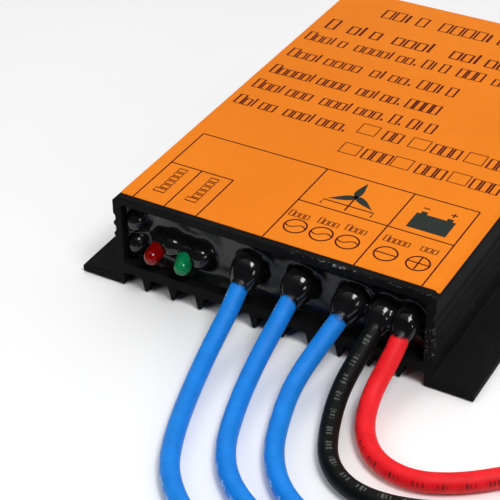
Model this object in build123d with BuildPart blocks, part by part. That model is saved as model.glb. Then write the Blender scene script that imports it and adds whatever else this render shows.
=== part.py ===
"""Potted wind-turbine charge controller: a finned extruded case with flying leads.

Millimetres.  X runs across the case, Y runs along the extrusion with the open
mouth at -Y, and Z is up.  The origin is the centre of the four mounting holes,
on the plane that the flanges and the fin tips stand on.
"""

from build123d import *
from math import pi, radians, tan
import os

os.makedirs("parts", exist_ok=True)

# ---------------------------------------------------------------- the case
case_width = 102.0          # over the side walls
case_depth = 152.0          # length of the extrusion
case_height = 31.0          # from the standing plane to the top plate
side_wall = 2.9
top_wall = 2.6
floor_wall = 3.6
top_chamfer = 1.6
cavity_corner_radius = 0.8

fin_height = 4.4
fin_count = 10
fin_pitch = 9.1
fin_root_width = 3.0
fin_tip_width = 1.1
fin_root_fillet = 0.6
fin_tip_fillet = 0.4

groove_count = 4            # finger grooves down each side wall
groove_pitch = 3.8
groove_depth = 0.65
groove_width = 3.0
first_groove_drop = 7.6     # from the top plate to the middle of the first

flange_reach = 12.4         # how far a flange stands out past the side wall
flange_root_thickness = 3.7
flange_tip_thickness = 2.3
flange_foot_width = 2.4     # the part of the flange that lies under the wall
hole_spacing_x = 115.0
hole_spacing_y = 72.0
hole_diameter = 4.5

# ---------------------------------------------------------------- label and potting
label_width = 100.0
label_thickness = 0.2
label_front_margin = 2.4
label_rear_margin = 0.4
label_offset = 0.5          # the label sits a little to the right

mouth_recess = 6.0          # the potting lies this far behind the front rim
rear_recess = 3.0
lead_mound_radius = 5.6
lead_mound_set_out = -1.5   # centre of a lead's mound, measured from the potting face
lamp_mound_radius = 5.0
lamp_mound_rise = 1.6       # the mound's centre above the lamp's dome
lamp_mound_aside = 2.3      # and to its right
bump_radius = 2.8
bump_wall_gap = 0.4

# ---------------------------------------------------------------- board and what is on it
board_width = 92.0
board_thickness = 1.6
board_front_gap = 14.0      # from the front rim to the board's edge
board_rear_gap = 10.0
board_clearance = 0.3       # between the clamp bars and the board
standoff_diameter = 6.0
standoff_inset_x = 5.0
standoff_inset_y = 16.0
screw_diameter = 3.0
screw_head_diameter = 5.5
screw_head_height = 2.0
screw_length = 8.0

pad_thickness = 0.4
device_width = 10.0
device_length = 9.0
device_height = 4.5
tab_length = 6.0
tab_thickness = 1.3
leg_width = 0.8
leg_thickness = 0.6
leg_pitch = 2.54
leg_reach = 3.0
leg_stub = 0.8              # what stands above the board
clamp_thickness = 1.8
clamp_length_y = 7.0
clamp_overhang = 7.0        # past the outer devices, for the end screws
clamp_screw_engagement = 2.6
access_hole_diameter = 7.0
row_inset = 26.0            # from the board's front or rear edge to a row of devices
diode_count = 6
diode_pitch = 12.0
mosfet_count = 4
mosfet_pitch = 15.0

core_outer_diameter = 27.0
core_inner_diameter = 14.0
core_height = 7.6
winding_thickness = 1.1
winding_sweep = 320.0
inductor_x = -24.0
inductor_y = 2.0

capacitor_diameter = 10.0
output_capacitor_length = 20.0
output_capacitor_count = 3
output_capacitor_pitch = 11.5
output_capacitor_x = 18.0
output_capacitor_y = 12.0
input_capacitor_length = 16.0
input_capacitor_count = 2
input_capacitor_pitch = 11.5
input_capacitor_x = 8.0
input_capacitor_y = -20.0
capacitor_rim = 0.6
capacitor_lift = 0.4        # the cans lie just clear of the board
capacitor_leg_width = 0.8
capacitor_leg_pitch = 5.0
capacitor_leg_reach = 2.5

shunt_span = 12.0
shunt_width = 4.0
shunt_rise = 4.0
shunt_thickness = 1.0
shunt_x = 34.0
shunt_y = -18.0

controller_chip_size = 10.0
controller_chip_height = 1.4
controller_chip_x = -4.0
controller_chip_y = 46.0
small_chip_length = 5.0
small_chip_width = 4.0
small_chip_height = 1.5
small_chip_count = 3
small_chip_pitch = 10.0
small_chip_x = -34.0
small_chip_y = 30.0

# ---------------------------------------------------------------- lamps
lamp_diameter = 5.0
lamp_body_length = 6.2      # from the base to the start of the dome
lamp_rim_diameter = 5.8
lamp_rim_length = 1.0
lamp_leg_diameter = 0.5
lamp_leg_pitch = 2.54
lamp_leg_straight = 2.0
lamp_leg_bend = 0.7
lamp_leg_over_board = 3.0
lamp_leg_lift = 0.4         # clear of the board
red_lamp_x = -37.3
red_lamp_set_out = 7.2      # dome centre, forward of the potting face
red_lamp_z = 14.7
red_lamp_turn = 0.0         # degrees towards +X
red_lamp_droop = 14.0       # degrees below level
green_lamp_x = -27.2
green_lamp_set_out = 7.0
green_lamp_z = 14.3
green_lamp_turn = 15.0
green_lamp_droop = 20.0

# ---------------------------------------------------------------- leads
lead_diameter = 5.4
core_diameter = 3.4         # the bare strands at the far end
core_length = 9.0
tail_diameter = 3.8         # tinned and soldered end on the board
tail_length = 10.0
lead_end_gap = 1.5          # the sheath stops this far in front of the board
arc_share = 0.45            # how much of a run its corner arc may take

# ---------------------------------------------------------------- derived places
front = -case_depth / 2
rear = case_depth / 2
half_width = case_width / 2
cavity_half_width = half_width - side_wall
floor_underside = fin_height
floor_top = fin_height + floor_wall
ceiling = case_height - top_wall
cavity_height = ceiling - floor_top
potting_front = front + mouth_recess
potting_rear = rear - rear_recess
device_bottom = floor_top + pad_thickness
device_top = device_bottom + device_height
clamp_top = device_top + clamp_thickness
board_bottom = clamp_top + board_clearance
board_top = board_bottom + board_thickness
board_front = front + board_front_gap
board_rear = rear - board_rear_gap
board_depth = board_rear - board_front
board_middle_y = (board_front + board_rear) / 2
standoff_height = board_bottom - floor_top
diode_row_y = board_front + row_inset
mosfet_row_y = board_rear - row_inset
tail_radius = tail_diameter / 2
exit_z = board_top + tail_radius       # a lead leaves the potting at the height of its tail
lead_start = board_front - lead_end_gap
floor_z = lead_diameter / 2

# Each route starts inside the potting, droops out of the mouth and lies on the
# standing plane in a loose curve.
lead_routes = {
    "blue_lead_1": [
        (-7.5, lead_start, exit_z), (-7.5, -74.5, exit_z), (-7, -84, 12), (-7, -96.5, 5.5),
        (-4, -112, floor_z), (1, -128, floor_z), (7, -141, floor_z), (18, -151.5, floor_z),
        (32, -158.5, floor_z), (48, -161, floor_z), (64, -159, floor_z), (80, -154, floor_z),
        (96, -151.5, floor_z), (112, -154, floor_z), (127, -159, floor_z),
    ],
    "blue_lead_2": [
        (9, lead_start, exit_z), (9, -75.5, exit_z), (8, -85.5, 12), (7.5, -97.5, 5.5),
        (10.5, -113, floor_z), (15.5, -127, floor_z), (23, -137, floor_z), (35, -144.5, floor_z),
        (50, -147, floor_z), (66, -145, floor_z), (82, -140, floor_z), (98, -137, floor_z),
        (114, -138.5, floor_z), (129, -143, floor_z), (143, -148.5, floor_z),
    ],
    "blue_lead_3": [
        (25.3, lead_start, exit_z), (25.3, -74, exit_z), (22.5, -85.5, 12), (20, -97, 5.5),
        (22.5, -110, floor_z), (27.5, -123, floor_z), (36, -133.5, floor_z),
        (47.5, -139.5, floor_z), (61, -138, floor_z), (76, -132.5, floor_z), (92, -126.5, floor_z),
        (108, -124, floor_z), (124, -126, floor_z), (139, -131, floor_z), (153.5, -136, floor_z),
    ],
    "black_lead": [
        (34.8, lead_start, exit_z), (34.8, -72.5, exit_z), (34, -83.5, 13), (32.5, -94.5, 6),
        (35.5, -107, floor_z), (41, -118.5, floor_z), (50.5, -125, floor_z), (63, -125, floor_z),
        (77, -119.5, floor_z), (92, -112.5, floor_z), (108, -109, floor_z), (124, -110.5, floor_z),
        (140, -115, floor_z), (155, -119.5, floor_z), (170, -122, floor_z),
    ],
    "red_lead": [
        (42, lead_start, exit_z), (42, -74, exit_z), (42.3, -83, 13), (40.5, -92.5, 5.5),
        (44, -104, floor_z), (52, -112.5, floor_z), (63, -114.5, floor_z), (74.5, -109, floor_z),
        (86, -98.5, floor_z), (99, -91, floor_z), (114, -87.5, floor_z), (130, -89, floor_z),
        (146, -94, floor_z), (161, -98.5, floor_z), (176, -101.5, floor_z),
    ],
}

def corner_radii(points):
    """Largest arc each corner can take: a share of the shorter run over tan(half turn)."""
    stops = [Vector(*p) for p in points]
    runs = [b - a for a, b in zip(stops, stops[1:])]
    radii = []
    for before, after in zip(runs, runs[1:]):
        half_turn = before.get_angle(after) / 2
        shorter = min(before.length, after.length)
        radii.append(arc_share * shorter / tan(radians(half_turn)))
    return radii


# ---------------------------------------------------------------- housing
groove_radius = ((groove_width / 2) ** 2 + groove_depth**2) / (2 * groove_depth)
groove_centre_x = half_width + groove_radius - groove_depth
groove_heights = [case_height - first_groove_drop - i * groove_pitch for i in range(groove_count)]
fin_places = [(i - (fin_count - 1) / 2) * fin_pitch for i in range(fin_count)]
flange_inner = half_width - flange_foot_width
flange_outer = half_width + flange_reach


def fin_corners(x):
    """Trapezoid of one fin, from its root in the floor to its narrow tip."""
    return [
        (x - fin_root_width / 2, floor_underside),
        (x - fin_tip_width / 2, 0),
        (x + fin_tip_width / 2, 0),
        (x + fin_root_width / 2, floor_underside),
    ]


def flange_corners(side):
    """Tapered flange and the foot that carries it under the side wall."""
    return [
        (side * flange_inner, 0),
        (side * flange_outer, 0),
        (side * flange_outer, flange_tip_thickness),
        (side * half_width, flange_root_thickness),
        (side * half_width, floor_top),
        (side * flange_inner, floor_top),
    ]


with BuildPart() as housing:
    with BuildSketch(Plane.XZ.offset(-rear)) as section:
        with Locations((0, (floor_underside + case_height) / 2)):
            Rectangle(case_width, case_height - floor_underside)
        chamfer(section.vertices().group_by(Axis.Y)[-1], top_chamfer)
        with Locations((0, (floor_top + ceiling) / 2)):
            RectangleRounded(2 * cavity_half_width, cavity_height, cavity_corner_radius, mode=Mode.SUBTRACT)
        with Locations(*[(side * groove_centre_x, z) for side in (-1, 1) for z in groove_heights]):
            Circle(groove_radius, mode=Mode.SUBTRACT)
        for side in (-1, 1):
            with BuildLine():
                Polyline(*flange_corners(side), close=True)
            make_face()
        for x in fin_places:
            with BuildLine():
                Polyline(*fin_corners(x), close=True)
            make_face()
        roots = [
            v
            for v in section.vertices().filter_by_position(Axis.Y, floor_underside - 0.01, fin_height + 0.01)
            if abs(v.X) < flange_inner - 0.01
        ]
        fillet(roots, fin_root_fillet)
        tips = [
            v
            for v in section.vertices().filter_by_position(Axis.Y, -0.01, 0.01)
            if abs(v.X) < flange_inner - 0.01
        ]
        fillet(tips, fin_tip_fillet)
    extrude(amount=case_depth)
    with BuildSketch(Plane.XY):
        with GridLocations(hole_spacing_x, hole_spacing_y, 2, 2):
            Circle(hole_diameter / 2)
    extrude(amount=flange_root_thickness, mode=Mode.SUBTRACT)
    clamp_rows = [
        (diode_row_y, (diode_count - 1) * diode_pitch + device_width),
        (mosfet_row_y, (mosfet_count - 1) * mosfet_pitch + device_width),
    ]
    clamp_screw_places = [
        (side * (row_width + clamp_overhang) / 2, row_y)
        for row_y, row_width in clamp_rows
        for side in (-1, 1)
    ]
    with BuildSketch(Plane.XY.offset(floor_top)):
        with Locations(*clamp_screw_places):
            Circle(screw_diameter / 2)
    extrude(amount=-clamp_screw_engagement, mode=Mode.SUBTRACT)
housing.part.label = "housing"


# ---------------------------------------------------------------- label
label_depth = case_depth - label_front_margin - label_rear_margin
label_middle_y = (label_front_margin - label_rear_margin) / 2
with BuildPart() as label:
    with BuildSketch(Plane.XY.offset(case_height)):
        with Locations((label_offset, label_middle_y)):
            Rectangle(label_width, label_depth)
    extrude(amount=label_thickness)
label.part.label = "label"


# ---------------------------------------------------------------- power devices and their clamps
def row_places(count, pitch):
    """Centres of a row of equal pieces about x = 0."""
    return [(i - (count - 1) / 2) * pitch for i in range(count)]


def device_row(count, pitch, row_y):
    """Tab packages lying on their pad, with three legs each bent up through the board."""
    leg_y = row_y - device_length / 2 - leg_reach
    leg_z = device_bottom + device_height / 2
    with BuildPart() as row:
        for x in row_places(count, pitch):
            with BuildSketch(Plane.XY.offset(device_bottom)):
                with Locations((x, row_y)):
                    Rectangle(device_width, device_length)
            extrude(amount=device_height)
            with BuildSketch(Plane.XY.offset(device_bottom)):
                with Locations((x, row_y + (device_length + tab_length) / 2)):
                    Rectangle(device_width, tab_length)
                    Circle(screw_diameter / 2, mode=Mode.SUBTRACT)
            extrude(amount=tab_thickness)
            for leg_x in [x + k * leg_pitch for k in (-1, 0, 1)]:
                with BuildSketch(Plane.XY.offset(leg_z)):
                    with Locations((leg_x, row_y - device_length / 2 - leg_reach / 2)):
                        Rectangle(leg_width, leg_reach)
                extrude(amount=leg_thickness)
                with BuildSketch(Plane.XY.offset(leg_z)):
                    with Locations((leg_x, leg_y + leg_thickness / 2)):
                        Rectangle(leg_width, leg_thickness)
                extrude(amount=board_top + leg_stub - leg_z)
    return row.part


rectifier_diodes = device_row(diode_count, diode_pitch, diode_row_y)
rectifier_diodes.label = "rectifier_diodes"
power_mosfets = device_row(mosfet_count, mosfet_pitch, mosfet_row_y)
power_mosfets.label = "power_mosfets"

with BuildPart() as thermal_pads:
    with BuildSketch(Plane.XY.offset(floor_top)):
        for row_y, row_width in clamp_rows:
            with Locations((0, row_y + tab_length / 2)):
                Rectangle(row_width, device_length + tab_length)
    extrude(amount=pad_thickness)
thermal_pads.part.label = "thermal_pads"

with BuildPart() as clamp_bars:
    with BuildSketch(Plane.XY.offset(device_top)):
        for row_y, row_width in clamp_rows:
            with Locations((0, row_y)):
                Rectangle(row_width + 2 * clamp_overhang, clamp_length_y)
        with Locations(*clamp_screw_places):
            Circle(screw_diameter / 2, mode=Mode.SUBTRACT)
    extrude(amount=clamp_thickness)
clamp_bars.part.label = "clamp_bars"

with BuildPart() as clamp_screws:
    with BuildSketch(Plane.XY.offset(floor_top - clamp_screw_engagement)):
        with Locations(*clamp_screw_places):
            Circle(screw_diameter / 2)
    extrude(amount=clamp_top - floor_top + clamp_screw_engagement)
    with BuildSketch(Plane.XY.offset(clamp_top)):
        with Locations(*clamp_screw_places):
            Circle(screw_head_diameter / 2)
    extrude(amount=screw_head_height)
clamp_screws.part.label = "clamp_screws"


# ---------------------------------------------------------------- board on its standoffs
standoff_spacing_x = board_width - 2 * standoff_inset_x
standoff_spacing_y = board_depth - 2 * standoff_inset_y

with BuildPart() as circuit_board:
    with BuildSketch(Plane.XY.offset(board_bottom)):
        with Locations((0, board_middle_y)):
            Rectangle(board_width, board_depth)
            with GridLocations(standoff_spacing_x, standoff_spacing_y, 2, 2):
                Circle(screw_diameter / 2, mode=Mode.SUBTRACT)
        with Locations(*clamp_screw_places):
            Circle(access_hole_diameter / 2, mode=Mode.SUBTRACT)
    extrude(amount=board_thickness)
    add(rectifier_diodes, mode=Mode.SUBTRACT)
    add(power_mosfets, mode=Mode.SUBTRACT)
circuit_board.part.label = "circuit_board"

with BuildPart() as board_standoffs:
    with BuildSketch(Plane.XY.offset(floor_top)):
        with Locations((0, board_middle_y)):
            with GridLocations(standoff_spacing_x, standoff_spacing_y, 2, 2):
                RegularPolygon(standoff_diameter / 2, 6)
    extrude(amount=standoff_height)
    with BuildSketch(Plane.XY.offset(board_bottom)):
        with Locations((0, board_middle_y)):
            with GridLocations(standoff_spacing_x, standoff_spacing_y, 2, 2):
                Circle(screw_diameter / 2)
    extrude(amount=board_thickness - screw_length, mode=Mode.SUBTRACT)
board_standoffs.part.label = "board_standoffs"

with BuildPart() as board_screws:
    with BuildSketch(Plane.XY.offset(board_top - screw_length)):
        with Locations((0, board_middle_y)):
            with GridLocations(standoff_spacing_x, standoff_spacing_y, 2, 2):
                Circle(screw_diameter / 2)
    extrude(amount=screw_length)
    with BuildSketch(Plane.XY.offset(board_top)):
        with Locations((0, board_middle_y)):
            with GridLocations(standoff_spacing_x, standoff_spacing_y, 2, 2):
                Circle(screw_head_diameter / 2)
    extrude(amount=screw_head_height)
board_screws.part.label = "board_screws"


# ---------------------------------------------------------------- inductor
core_bottom = board_top + winding_thickness
core_mean_radius = (core_outer_diameter + core_inner_diameter) / 4
core_band = (core_outer_diameter - core_inner_diameter) / 2
inductor_plane = Plane.XZ.offset(-inductor_y)

with BuildPart() as inductor_core:
    with BuildSketch(inductor_plane):
        with Locations((inductor_x + core_mean_radius, core_bottom + core_height / 2)):
            Rectangle(core_band, core_height)
    revolve(axis=Axis((inductor_x, inductor_y, 0), (0, 0, 1)))
inductor_core.part.label = "inductor_core"

with BuildPart() as inductor_winding:
    with BuildSketch(inductor_plane):
        with Locations((inductor_x + core_mean_radius, core_bottom + core_height / 2)):
            Rectangle(core_band + 2 * winding_thickness, core_height + 2 * winding_thickness)
            Rectangle(core_band, core_height, mode=Mode.SUBTRACT)
    revolve(axis=Axis((inductor_x, inductor_y, 0), (0, 0, 1)), revolution_arc=winding_sweep)
inductor_winding.part.label = "inductor_winding"


# ---------------------------------------------------------------- capacitors, shunt and chips
def lying_capacitors(count, pitch, length, x, y):
    """Electrolytic cans lying along Y, each with two legs bent down onto the board."""
    radius = capacitor_diameter / 2
    can_z = board_top + capacitor_lift + radius
    leg = capacitor_leg_width
    can_places = [x + i * pitch for i in range(count)]
    leg_places = [can_x + side * capacitor_leg_pitch / 2 for can_x in can_places for side in (-1, 1)]
    with BuildPart() as cans:
        with BuildSketch(Plane.XZ.offset(-(y + length))):
            with Locations(*[(can_x, can_z) for can_x in can_places]):
                Circle(radius)
        extrude(amount=length)
        fillet(cans.edges().filter_by(GeomType.CIRCLE), capacitor_rim)
        with BuildSketch(Plane.XZ.offset(-y)):
            with Locations(*[(leg_x, can_z) for leg_x in leg_places]):
                Rectangle(leg, leg)
        extrude(amount=capacitor_leg_reach)
        with BuildSketch(Plane.XY.offset(board_top)):
            with Locations(*[(leg_x, y - capacitor_leg_reach + leg / 2) for leg_x in leg_places]):
                Rectangle(leg, leg)
        extrude(amount=can_z - board_top)
    return cans.part


output_capacitors = lying_capacitors(
    output_capacitor_count,
    output_capacitor_pitch,
    output_capacitor_length,
    output_capacitor_x,
    output_capacitor_y,
)
output_capacitors.label = "output_capacitors"
input_capacitors = lying_capacitors(
    input_capacitor_count,
    input_capacitor_pitch,
    input_capacitor_length,
    input_capacitor_x,
    input_capacitor_y,
)
input_capacitors.label = "input_capacitors"

with BuildPart() as shunt_resistor:
    with BuildSketch(Plane.XZ.offset(-(shunt_y + shunt_width))):
        with Locations((shunt_x, board_top + shunt_rise / 2)):
            Rectangle(shunt_span, shunt_rise)
        with Locations((shunt_x, board_top + (shunt_rise - shunt_thickness) / 2)):
            Rectangle(shunt_span - 2 * shunt_thickness, shunt_rise - shunt_thickness, mode=Mode.SUBTRACT)
    extrude(amount=shunt_width)
shunt_resistor.part.label = "shunt_resistor"

with BuildPart() as controller_chip:
    with BuildSketch(Plane.XY.offset(board_top)):
        with Locations((controller_chip_x, controller_chip_y)):
            Rectangle(controller_chip_size, controller_chip_size)
    extrude(amount=controller_chip_height)
controller_chip.part.label = "controller_chip"

small_chip_places = [small_chip_x + i * small_chip_pitch for i in range(small_chip_count)]
with BuildPart() as driver_chips:
    with BuildSketch(Plane.XY.offset(board_top)):
        with Locations(*[(x, small_chip_y) for x in small_chip_places]):
            Rectangle(small_chip_length, small_chip_width)
    extrude(amount=small_chip_height)
driver_chips.part.label = "driver_chips"


# ---------------------------------------------------------------- lamps
lamp_radius = lamp_diameter / 2


def lamp_plane(x, set_out, z, turn, droop):
    """Plane at the dome centre, its normal pointing back along the lamp's axis."""
    aim = Vector(0, 1, 0).rotate(Axis.X, droop).rotate(Axis.Z, turn)
    across = Vector(1, 0, 0).rotate(Axis.Z, turn)
    return Plane(origin=(x, potting_front - set_out, z), x_dir=across, z_dir=aim)


def lamp_lens(place):
    """Domed lens with its base rim."""
    with BuildPart() as lens:
        with BuildSketch(place):
            Circle(lamp_radius)
        extrude(amount=lamp_body_length)
        with BuildSketch(place.offset(lamp_body_length - lamp_rim_length)):
            Circle(lamp_rim_diameter / 2)
        extrude(amount=lamp_rim_length)
        with Locations(place):
            Sphere(lamp_radius)
    return lens.part


def lamp_legs(place):
    """Two wire legs from the lamp's base, bent flat onto the board."""
    legs = []
    landing_z = board_top + lamp_leg_lift + lamp_leg_diameter / 2
    for side in (-1, 1):
        aside = side * lamp_leg_pitch / 2
        base = place.from_local_coords(Vector(aside, 0, lamp_body_length))
        bend = place.from_local_coords(Vector(aside, 0, lamp_body_length + lamp_leg_straight))
        landing = Vector(bend.X, board_front, landing_z)
        end = Vector(bend.X, board_front + lamp_leg_over_board, landing_z)
        with BuildPart() as leg:
            with BuildLine() as route:
                FilletPolyline(base, bend, landing, end, radius=lamp_leg_bend)
            with BuildSketch(Plane(origin=route.line @ 0, z_dir=route.line % 0)):
                Circle(lamp_leg_diameter / 2)
            sweep(path=route.line)
        legs.append(leg.part)
    with BuildPart() as both:
        add(legs)
    return both.part


red_place = lamp_plane(red_lamp_x, red_lamp_set_out, red_lamp_z, red_lamp_turn, red_lamp_droop)
green_place = lamp_plane(
    green_lamp_x, green_lamp_set_out, green_lamp_z, green_lamp_turn, green_lamp_droop
)
red_lamp = lamp_lens(red_place)
red_lamp.label = "red_lamp"
green_lamp = lamp_lens(green_place)
green_lamp.label = "green_lamp"
red_lamp_legs = lamp_legs(red_place)
red_lamp_legs.label = "red_lamp_legs"
green_lamp_legs = lamp_legs(green_place)
green_lamp_legs.label = "green_lamp_legs"


# ---------------------------------------------------------------- leads
def lead_tube(points):
    """Insulation of one lead: straight runs joined by tangent arcs."""
    with BuildPart() as tube:
        with BuildLine() as route:
            FilletPolyline(*points, radius=corner_radii(points))
        with BuildSketch(Plane(origin=route.line @ 0, z_dir=route.line % 0)):
            Circle(lead_diameter / 2)
        sweep(path=route.line)
    return tube.part, route.wires()[0]


def far_core(line):
    """Bare strands that stand out of the cut end of the insulation."""
    with BuildPart() as strands:
        with BuildSketch(Plane(origin=line @ 1, z_dir=line % 1)):
            Circle(core_diameter / 2)
        extrude(amount=core_length)
    return strands.part


leads = {}
far_cores = {}
for name, points in lead_routes.items():
    leads[name], lead_line = lead_tube(points)
    far_cores[name] = far_core(lead_line)
    expected = lead_line.length * pi * (lead_diameter / 2) ** 2
    ratios = [round(r / lead_diameter, 1) for r in corner_radii(points)]
    print(name, "length", round(lead_line.length, 1), "radii in diameters", ratios)
    print(name, "volume over section times length", round(leads[name].volume / expected, 4))

with BuildPart() as lead_tails:
    for points in lead_routes.values():
        with BuildSketch(Plane.XZ.offset(-points[0][1])):
            with Locations((points[0][0], exit_z)):
                Circle(tail_radius)
            with Locations((points[0][0], (exit_z + board_top) / 2)):
                Rectangle(tail_diameter, exit_z - board_top)
        extrude(amount=-tail_length)
lead_tails.part.label = "lead_tails"


# ---------------------------------------------------------------- potting compound
bump_x = -(cavity_half_width - bump_wall_gap - bump_radius)
bump_heights = [floor_top + 0.28 * cavity_height, floor_top + 0.62 * cavity_height]
lead_mounds = [
    (points[0][0], potting_front + lead_mound_set_out, exit_z) for points in lead_routes.values()
]
lamp_mounds = [
    (red_lamp_x + lamp_mound_aside, potting_front, red_lamp_z + lamp_mound_rise),
    (green_lamp_x + lamp_mound_aside, potting_front, green_lamp_z + lamp_mound_rise),
]
bumps = [(bump_x, potting_front, z) for z in bump_heights]
sealed = [
    rectifier_diodes,
    power_mosfets,
    thermal_pads.part,
    clamp_bars.part,
    clamp_screws.part,
    circuit_board.part,
    board_standoffs.part,
    board_screws.part,
    inductor_core.part,
    inductor_winding.part,
    output_capacitors,
    input_capacitors,
    shunt_resistor.part,
    controller_chip.part,
    driver_chips.part,
    lead_tails.part,
    red_lamp,
    green_lamp,
    red_lamp_legs,
    green_lamp_legs,
]

with BuildPart() as potting_compound:
    with BuildSketch(Plane.XZ.offset(-potting_rear)):
        with Locations((0, (floor_top + ceiling) / 2)):
            RectangleRounded(2 * cavity_half_width, cavity_height, cavity_corner_radius)
    extrude(amount=potting_rear - potting_front)
    with Locations(*lead_mounds):
        Sphere(lead_mound_radius)
    with Locations(*lamp_mounds):
        Sphere(lamp_mound_radius)
    with Locations(*bumps):
        Sphere(bump_radius)
    for piece in sealed + list(leads.values()):
        add(piece, mode=Mode.SUBTRACT)
potting_compound.part.label = "potting_compound"


# ---------------------------------------------------------------- files
pieces = {
    "housing": housing.part,
    "label": label.part,
    "potting_compound": potting_compound.part,
    "circuit_board": circuit_board.part,
    "board_standoffs": board_standoffs.part,
    "board_screws": board_screws.part,
    "thermal_pads": thermal_pads.part,
    "rectifier_diodes": rectifier_diodes,
    "power_mosfets": power_mosfets,
    "clamp_bars": clamp_bars.part,
    "clamp_screws": clamp_screws.part,
    "inductor_core": inductor_core.part,
    "inductor_winding": inductor_winding.part,
    "output_capacitors": output_capacitors,
    "input_capacitors": input_capacitors,
    "shunt_resistor": shunt_resistor.part,
    "controller_chip": controller_chip.part,
    "driver_chips": driver_chips.part,
    "red_lamp": red_lamp,
    "green_lamp": green_lamp,
    "red_lamp_legs": red_lamp_legs,
    "green_lamp_legs": green_lamp_legs,
    "lead_tails": lead_tails.part,
}
for name, tube in leads.items():
    pieces[name] = tube
    pieces[name + "_strands"] = far_cores[name]
for name, piece in pieces.items():
    piece.label = name
    export_step(piece, f"parts/{name}.step")
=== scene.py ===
# %% [markdown]
# # A potted charge controller for a small wind turbine
#
# The real thing is a length of black aluminium extrusion with fins underneath and a flange
# down each side.  A circuit board slides in, resin is poured over it, and an orange label
# goes on top.  Two small lamps and five thick leads come out of the resin at one end.
#
# This lesson builds what the eye sees around a frame of exact solids that is already made.
# The frame gives every position; the lesson adds softened edges, ink, resin and wire.

# %% Tools and frame
from math import cos, pi, radians, sin

import bmesh
import bpy
import numpy as np
from mathutils import Euler, Matrix, Vector
from mathutils.geometry import tessellate_polygon


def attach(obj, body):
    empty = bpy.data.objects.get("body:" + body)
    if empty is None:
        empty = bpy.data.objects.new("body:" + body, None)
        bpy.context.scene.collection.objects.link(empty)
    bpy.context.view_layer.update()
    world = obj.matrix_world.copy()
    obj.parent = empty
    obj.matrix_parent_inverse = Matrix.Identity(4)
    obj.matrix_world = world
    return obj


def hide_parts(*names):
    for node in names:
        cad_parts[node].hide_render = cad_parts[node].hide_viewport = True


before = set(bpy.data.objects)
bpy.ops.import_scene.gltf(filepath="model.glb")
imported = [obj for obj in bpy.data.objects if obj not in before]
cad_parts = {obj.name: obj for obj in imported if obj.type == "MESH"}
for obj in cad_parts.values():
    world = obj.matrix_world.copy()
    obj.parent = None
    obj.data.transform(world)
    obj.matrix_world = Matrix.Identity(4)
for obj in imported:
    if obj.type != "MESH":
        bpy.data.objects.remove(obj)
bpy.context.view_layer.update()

MM = 0.001

# %% [markdown]
# ## The camera
#
# A long lens flattens perspective, which suits a small product.  The camera is placed by
# where it stands and by three turns: round the object, down towards it, and a slight roll.

# %% Camera
camera_data = bpy.data.cameras.new("camera")
camera_data.sensor_width = 36.0
camera_data.lens = 114.86
camera = bpy.data.objects.new("camera", camera_data)
bpy.context.collection.objects.link(camera)
turn_round, look_down, roll = 30.04, 35.25, -0.92
aim = Euler((radians(90 - look_down), 0, radians(turn_round))).to_matrix()
camera.matrix_world = Matrix.Translation(Vector((175.4, -388.4, 282.2)) * MM) @ (
    aim @ Euler((0, 0, radians(roll))).to_matrix()
).to_4x4()
bpy.context.scene.camera = camera
print("camera at", [round(v, 3) for v in camera.location])

# %% [markdown]
# ## Surfaces from arrays
#
# Almost every piece here is a grid of points: rows run along the piece and columns run
# across it.  One helper turns such a grid into a mesh.  Where a row shrinks to a point the
# doubled corners are merged, so the end is closed, and the faces are turned outwards.


# %% Grid to mesh
def mesh_piece(name, points, faces, uv=None, sharp_above=35.0):
    """A mesh object from points in millimetres and faces given as rows of point numbers."""
    mesh = bpy.data.meshes.new(name)
    mesh.from_pydata((np.asarray(points, float) * MM).tolist(), [], [list(map(int, f)) for f in faces])
    if uv is not None:
        layer = mesh.uv_layers.new(name="UVMap")
        layer.data.foreach_set("uv", np.asarray(uv, np.float32).ravel())
    work = bmesh.new()
    work.from_mesh(mesh)
    bmesh.ops.remove_doubles(work, verts=work.verts, dist=1e-7)
    bmesh.ops.recalc_face_normals(work, faces=work.faces)
    work.to_mesh(mesh)
    work.free()
    mesh.shade_smooth()
    mesh.set_sharp_from_angle(angle=radians(sharp_above))
    piece = bpy.data.objects.new(name, mesh)
    bpy.context.collection.objects.link(piece)
    return piece


def grid_faces(rows, columns, around=True, first=0):
    """Quads of a grid: each joins a point to the next along its row and to the row after.
    With around, the last column joins the first."""
    spans = columns if around else columns - 1
    r, c = np.meshgrid(np.arange(rows - 1), np.arange(spans), indexing="ij")
    d = (c + 1) % columns
    quads = np.stack([r * columns + c, r * columns + d, (r + 1) * columns + d, (r + 1) * columns + c], -1)
    return quads.reshape(-1, 4) + first


def slab(near, far):
    """Two grids of points of the same shape, joined at their borders into one closed slab."""
    rows, columns = near.shape[:2]
    count = rows * columns
    number = np.arange(count).reshape(rows, columns)
    edge = np.concatenate([number[0], number[1:, -1], number[-1, -2::-1], number[-2:0:-1, 0]])
    after = np.roll(edge, -1)
    rim = np.stack([edge, after, after + count, edge + count], 1)
    faces = [grid_faces(rows, columns, False), grid_faces(rows, columns, False, count), rim]
    return np.concatenate([near.reshape(-1, 3), far.reshape(-1, 3)]), np.concatenate(faces)


def gather(parts):
    """Several (points, faces) pairs as one, with the face numbers shifted to suit."""
    starts = np.cumsum([0] + [len(p) for p, _ in parts[:-1]])
    points = np.concatenate([np.asarray(p, float).reshape(-1, 3) for p, _ in parts])
    faces = [face for (_, fs), s in zip(parts, starts) for face in (np.asarray(f) + s for f in fs)]
    return points, faces


def place(piece, finish, slot, *nodes):
    """Gives a piece its finish and lets it ride on the body of the frame.  The slot is not used."""
    piece.data.materials.clear()
    piece.data.materials.append(finish.material)
    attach(piece, "root")
    if nodes:
        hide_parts(*nodes)
    return piece


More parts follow.
